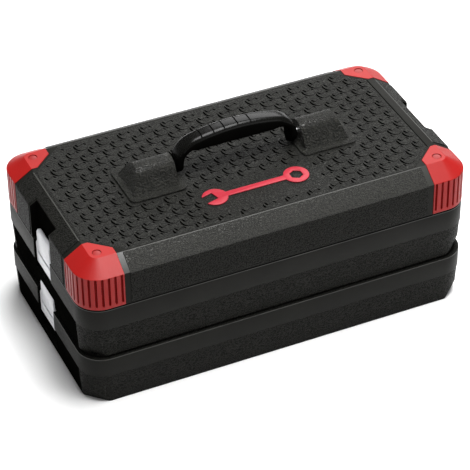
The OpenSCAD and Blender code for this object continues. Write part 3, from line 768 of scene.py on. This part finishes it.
ARM_IN, SHOULDER_R, UNDER_R = 57.5, 28.0, 16.0
CROWN, UNDER = grip_high.z, 191.0
BEND_THINNED = 3.0
BEND_X = grip_high.x - SHOULDER_R
CROWN_R = (BEND_X ** 2 + (CROWN - PIVOT) ** 2 - SHOULDER_R ** 2) / (2 * (CROWN - PIVOT - SHOULDER_R))
BEND_END = math.pi / 2 - math.asin(BEND_X / (CROWN_R - SHOULDER_R))


def crown_z(x):
    """Height of the grip's crown at x."""
    return CROWN - CROWN_R + math.sqrt(CROWN_R ** 2 - x * x)


def half_arch():
    """Rings from the right pivot up to the middle of the grip."""
    stations = []
    for i in range(7):
        a = (1 - i / 6) * math.pi / 2 * 0.97
        z = PIVOT - GRIP_HALF_D * math.sin(a)
        stations.append(((grip_high.x, z), (ARM_IN, z), GRIP_HALF_D * math.cos(a)))
    inner_start = math.asin((PIVOT - UNDER + UNDER_R) / UNDER_R)
    for i in range(1, 15):
        t = i / 14
        a, b = t * BEND_END, inner_start + t * (math.pi / 2 - inner_start)
        inner_r = UNDER_R + BEND_THINNED * math.sin(math.pi * t)
        stations.append(((BEND_X + SHOULDER_R * math.cos(a), PIVOT + SHOULDER_R * math.sin(a)),
                         (ARM_IN - UNDER_R + inner_r * math.cos(b), UNDER - UNDER_R + inner_r * math.sin(b)),
                         GRIP_HALF_D))
    outer_x, inner_x = BEND_X + SHOULDER_R * math.cos(BEND_END), ARM_IN - UNDER_R
    for i in range(1, 9):
        t = 1 - i / 8
        stations.append(((outer_x * t, crown_z(outer_x * t)), (inner_x * t, UNDER), GRIP_HALF_D))
    return [grip_section(outer, inner, half_d, 5.5) for outer, inner, half_d in stations]


half = half_arch()
mirrored = [[(-x, y, z) for x, y, z in ring] for ring in half[-2::-1]]
grip = loose("carrying_handle_grip", *grid_solid(half + mirrored))
GRIP_SLOTS = (-38.0, -25.0, -13.4, 1.2, 15.0)
slots = []
for x in GRIP_SLOTS:
    mouth = rounded_rect(0.8, 1.5, 0.7, 3, (x, crown_z(x)))
    slots.append(grid_solid([[(px, y, pz) for px, pz in mouth] for y in (-14, 14)]))
cut(grip, loose("grip_slots", *merged(slots)))
smooth(grip, 40)
settle(grip, "handle", "handle_black", None, ("handle_grip",))
# Grip faces that turn sideways or down get a darker, duller black: painted shade on its front and underside.
paint_faces(grip, underside_shade_black, lambda c, normal: normal.z < 0.3)

rounded("handle_pivot_pins_bright", "handle_pivot_pins", 0.4)
rounded("handle_mount_screws_bright", "handle_mount_screws", 0.3)
for side in ("left", "right"):
    rounded(f"handle_mount_housing_{side}", f"handle_mount_{side}", 1.3, 3, mount_black)

# ---------- badge ----------

rounded("badge_spanner_relief", "lid_emblem", 0.3, 2)

# ---------- latches ----------

for level in ("upper", "lower"):
    for side in ("left", "right"):
        rounded(f"{level}_{side}_draw_lever", f"{level}_{side}_latch_lever", 0.5, 2)
        rounded(f"{level}_{side}_draw_claw", f"{level}_{side}_latch_claw", 0.5, 2)
    rounded(f"{level}_latch_pins_bright", f"{level}_latch_pins", 0.2, 2)

# ---------- inserts and foam ----------

rounded("bottom_tray_formed_insert", "bottom_tray_insert", 0.7, 2)
rounded("middle_tray_formed_insert", "middle_tray_insert", 0.7, 2)

pad_low, pad_high = size_of("lid_foam_pad")


def foam_pad():
    """The lid's closed-cell pad: a crowned sheet with soft edges and a shallow waffle underneath."""
    half_x, half_y = pad_high.x, pad_high.y
    nx, ny = 96, 46
    pitch, radius = 12.0, 12.0
    holes = [(sx * FOOT_X, sy * 13.0) for sx in (-1, 1) for sy in (-1, 1)]
    bottom, top = {}, {}
    verts, faces = [], []
    for j in range(ny + 1):
        for i in range(nx + 1):
            u, v = 2 * i / nx - 1, 2 * j / ny - 1
            x, y = half_x * u, half_y * v
            beyond = math.hypot(max(0, abs(x) - half_x + radius), max(0, abs(y) - half_y + radius))
            if beyond > radius:
                cx = math.copysign(half_x - radius, x)
                cy = math.copysign(half_y - radius, y)
                x, y = cx + (x - cx) * radius / beyond, cy + (y - cy) * radius / beyond
            edge = min(1.0, (1 - max(abs(u), abs(v))) * 14)
            wave = 0.5 + 0.5 * math.cos(math.tau * x / pitch) * math.cos(math.tau * y / pitch)
            drop = 1.2 + edge * (1.4 + 1.0 * (wave - 1)) if edge < 1 else 1.6 + 1.0 * wave
            nearest = min(math.hypot(x - hx, y - hy) for hx, hy in holes)
            dip = max(0.0, 1 - max(0.0, nearest - 5.5) / 2.5)
            lower = pad_low.z + (1 - edge) * 2.2 + 2.6 - drop
            lower += (pad_high.z - 0.6 - lower) * dip * 0.9
            bottom[i, j] = len(verts)
            verts.append((x, y, max(pad_low.z, lower)))
    for j in range(ny + 1):
        for i in range(nx + 1):
            x, y, _ = verts[bottom[i, j]]
            top[i, j] = len(verts)
            verts.append((x, y, pad_high.z))
    for j in range(ny):
        for i in range(nx):
            faces.append((bottom[i, j], bottom[i, j + 1], bottom[i + 1, j + 1], bottom[i + 1, j]))
            faces.append((top[i, j], top[i + 1, j], top[i + 1, j + 1], top[i, j + 1]))
    rim = ([(i, 0) for i in range(nx)] + [(nx, j) for j in range(ny)] +
           [(i, ny) for i in range(nx, 0, -1)] + [(0, j) for j in range(ny, 0, -1)])
    for a, b in zip(rim, rim[1:] + rim[:1]):
        faces.append((bottom[a], bottom[b], top[b], top[a]))
    pad = make("lid_waffle_foam_pad", verts, faces, "lid", "foam", None, ("lid_foam_pad",))
    smooth(pad, 50)
    return pad


foam_pad()

# ---------- tools ----------

tool_edges = {
    "ratchet_head": 0.9, "ratchet_cover": 0.4, "ratchet_drive": 0.4, "ratchet_reverse_lever": 0.5,
    "ratchet_release_button": 0.5, "universal_joint_socket_end": 0.6, "universal_joint_cross": 0.4,
    "universal_joint_drive_end": 0.6, "extension_long": 0.7, "extension_short": 0.7, "sliding_bar": 0.8,
    "sliding_bar_head": 0.7, "spark_plug_socket_16mm": 0.6, "spark_plug_socket_21mm": 0.6,
    "small_ratchet_body": 0.6, "small_ratchet_drive": 0.3, "small_ratchet_reverse_lever": 0.4,
    "small_sockets": 0.4, "bit_driver_shaft": 0.4, "screwdriver_bits": 0.25, "combination_wrenches": 0.6,
}
for node in nodes:
    if node.startswith("socket_"):
        tool_edges[node] = 0.6
for node, width in tool_edges.items():
    rounded(f"{node}_finished", node, width)


def lathe_x(name, node, centre, profile, lobes, depth):
    """A grip turned round the x axis with lengthwise flutes between its ends."""
    around = 8 * lobes
    x_start, x_end = profile[0][0], profile[-1][0]
    rings = []
    for x, r in profile:
        share = min(1.0, 6 * min(x - x_start, x_end - x) / (x_end - x_start))
        ring = []
        for i in range(around):
            a = i * math.tau / around
            swell = depth * share * (0.5 + 0.5 * math.cos(lobes * a)) ** 3
            ring.append((x, centre[0] + (r - swell) * math.cos(a), centre[1] + (r - swell) * math.sin(a)))
        rings.append(ring)
    smooth(make(name, *grid_solid(rings), body_of[node], slot_of[node], None, (node,)), 50)


def grip_of(node, title, flare):
    """A fluted grip over a CAD node, with a ribbed collar near each end."""
    low, high = size_of(node)
    centre = ((low.y + high.y) / 2, (low.z + high.z) / 2)
    radius = (high.y - low.y) / 2
    x0, x1 = low.x, high.x
    body = [(x0, flare), (x0 + 0.6, flare + 0.8), (x0 + 3, radius - 1.0), (x0 + 8, radius - 0.2)]
    steps = 14
    for k in range(steps + 1):
        t = k / steps
        body.append((x0 + 10 + (x1 - x0 - 22) * t, radius - 1.3 * math.sin(math.pi * t)))
    body += [(x1 - 8, radius - 0.1), (x1 - 3, radius - 0.7), (x1 - 0.8, radius - 3.0), (x1, radius - 5.5)]
    lathe_x(title, node, centre, body, 8, 1.1)
    for k, share in enumerate((0.16, 0.84)):
        x = x0 + (x1 - x0) * share
        r = radius - 0.15
        line = [(x - 2.2, r - 2.4), (x - 1.9, r - 0.5), (x - 1.2, r), (x + 1.2, r), (x + 1.9, r - 0.5),
                (x + 2.2, r - 2.4)]
        angles = [i * math.tau / 40 for i in range(40)]
        rings = [[(px, centre[0] + pr * math.cos(a), centre[1] + pr * math.sin(a)) for a in angles]
                 for px, pr in line]
        collar = make(f"{title}_collar_{k + 1}", *grid_solid(rings), body_of[node], slot_of[node], grip_black)
        smooth(collar, 40)


grip_of("ratchet_grip", "ratchet_soft_grip", 8.5)
grip_of("bit_driver_handle", "bit_driver_soft_handle", 8.0)


# ---------- stage, lights and camera ----------

CASE_MIDDLE = (0, 0, 0.1)


def area_light(name, place, size, watts):
    """A rectangular light that faces the middle of the case."""
    data = bpy.data.lights.new(name, "AREA")
    data.shape = "RECTANGLE"
    data.size, data.size_y = size
    data.energy = watts
    light = bpy.data.objects.new(name, data)
    bpy.context.scene.collection.objects.link(light)
    light.location = place
    light.rotation_euler = (Vector(CASE_MIDDLE) - Vector(place)).to_track_quat("-Z", "Y").to_euler()


def build_floor():
    """The pale studio floor, which belongs to the stage and not to the case."""
    mat, tree, shader, coords = tree_of("studio_floor_pale")
    cloud = noise(tree, coords, 1.5, 3)
    tone = blend_colours(tree, spread(tree, cloud, 0, 1), (0.86, 0.86, 0.86), (0.9, 0.9, 0.9))
    tree.links.new(tone, shader.inputs["Base Color"])
    shader.inputs["Roughness"].default_value = 0.7
    mesh = bpy.data.meshes.new("studio_floor")
    reach = 9.0
    mesh.from_pydata([(-reach, -reach, 0), (reach, -reach, 0), (reach, reach, 0), (-reach, reach, 0)], [],
                     [(0, 1, 2, 3)])
    floor = linked("studio_floor", mesh)
    paint(floor, mat)


build_floor()
world = bpy.data.worlds.new("studio")
world.use_nodes = True
world.node_tree.nodes["Background"].inputs["Color"].default_value = (1, 1, 1, 1)
world.node_tree.nodes["Background"].inputs["Strength"].default_value = 0.2
bpy.context.scene.world = world
bpy.context.scene.view_settings.view_transform = "Standard"

area_light("key_back_right", (1.1, 1.5, 1.35), (1.5, 1.2), 26)
area_light("top_soft", (0.25, -0.1, 1.9), (1.3, 1.0), 80)
area_light("front_fill", (0.9, -1.9, 0.9), (1.2, 0.8), 6)

AZIMUTH, ELEVATION, ROLL = math.radians(-24.1), math.radians(37.44), math.radians(-0.78)
back = Vector((math.sin(AZIMUTH) * math.cos(ELEVATION), -math.cos(AZIMUTH) * math.cos(ELEVATION),
               math.sin(ELEVATION)))
right = (-back).cross(Vector((0, 0, 1))).normalized()
up = right.cross(-back)
s, c = math.sin(ROLL), math.cos(ROLL)
right_rolled, up_rolled = c * right + s * up, -s * right + c * up
camera_data = bpy.data.cameras.new("camera")
camera_data.lens = 175.3
camera_data.sensor_width = 36
camera = bpy.data.objects.new("camera", camera_data)
bpy.context.scene.collection.objects.link(camera)
axes = Matrix((right_rolled, up_rolled, back)).transposed().to_4x4()
camera.matrix_world = Matrix.Translation((-0.7625, -1.7033, 1.4966)) @ axes
bpy.context.scene.camera = camera
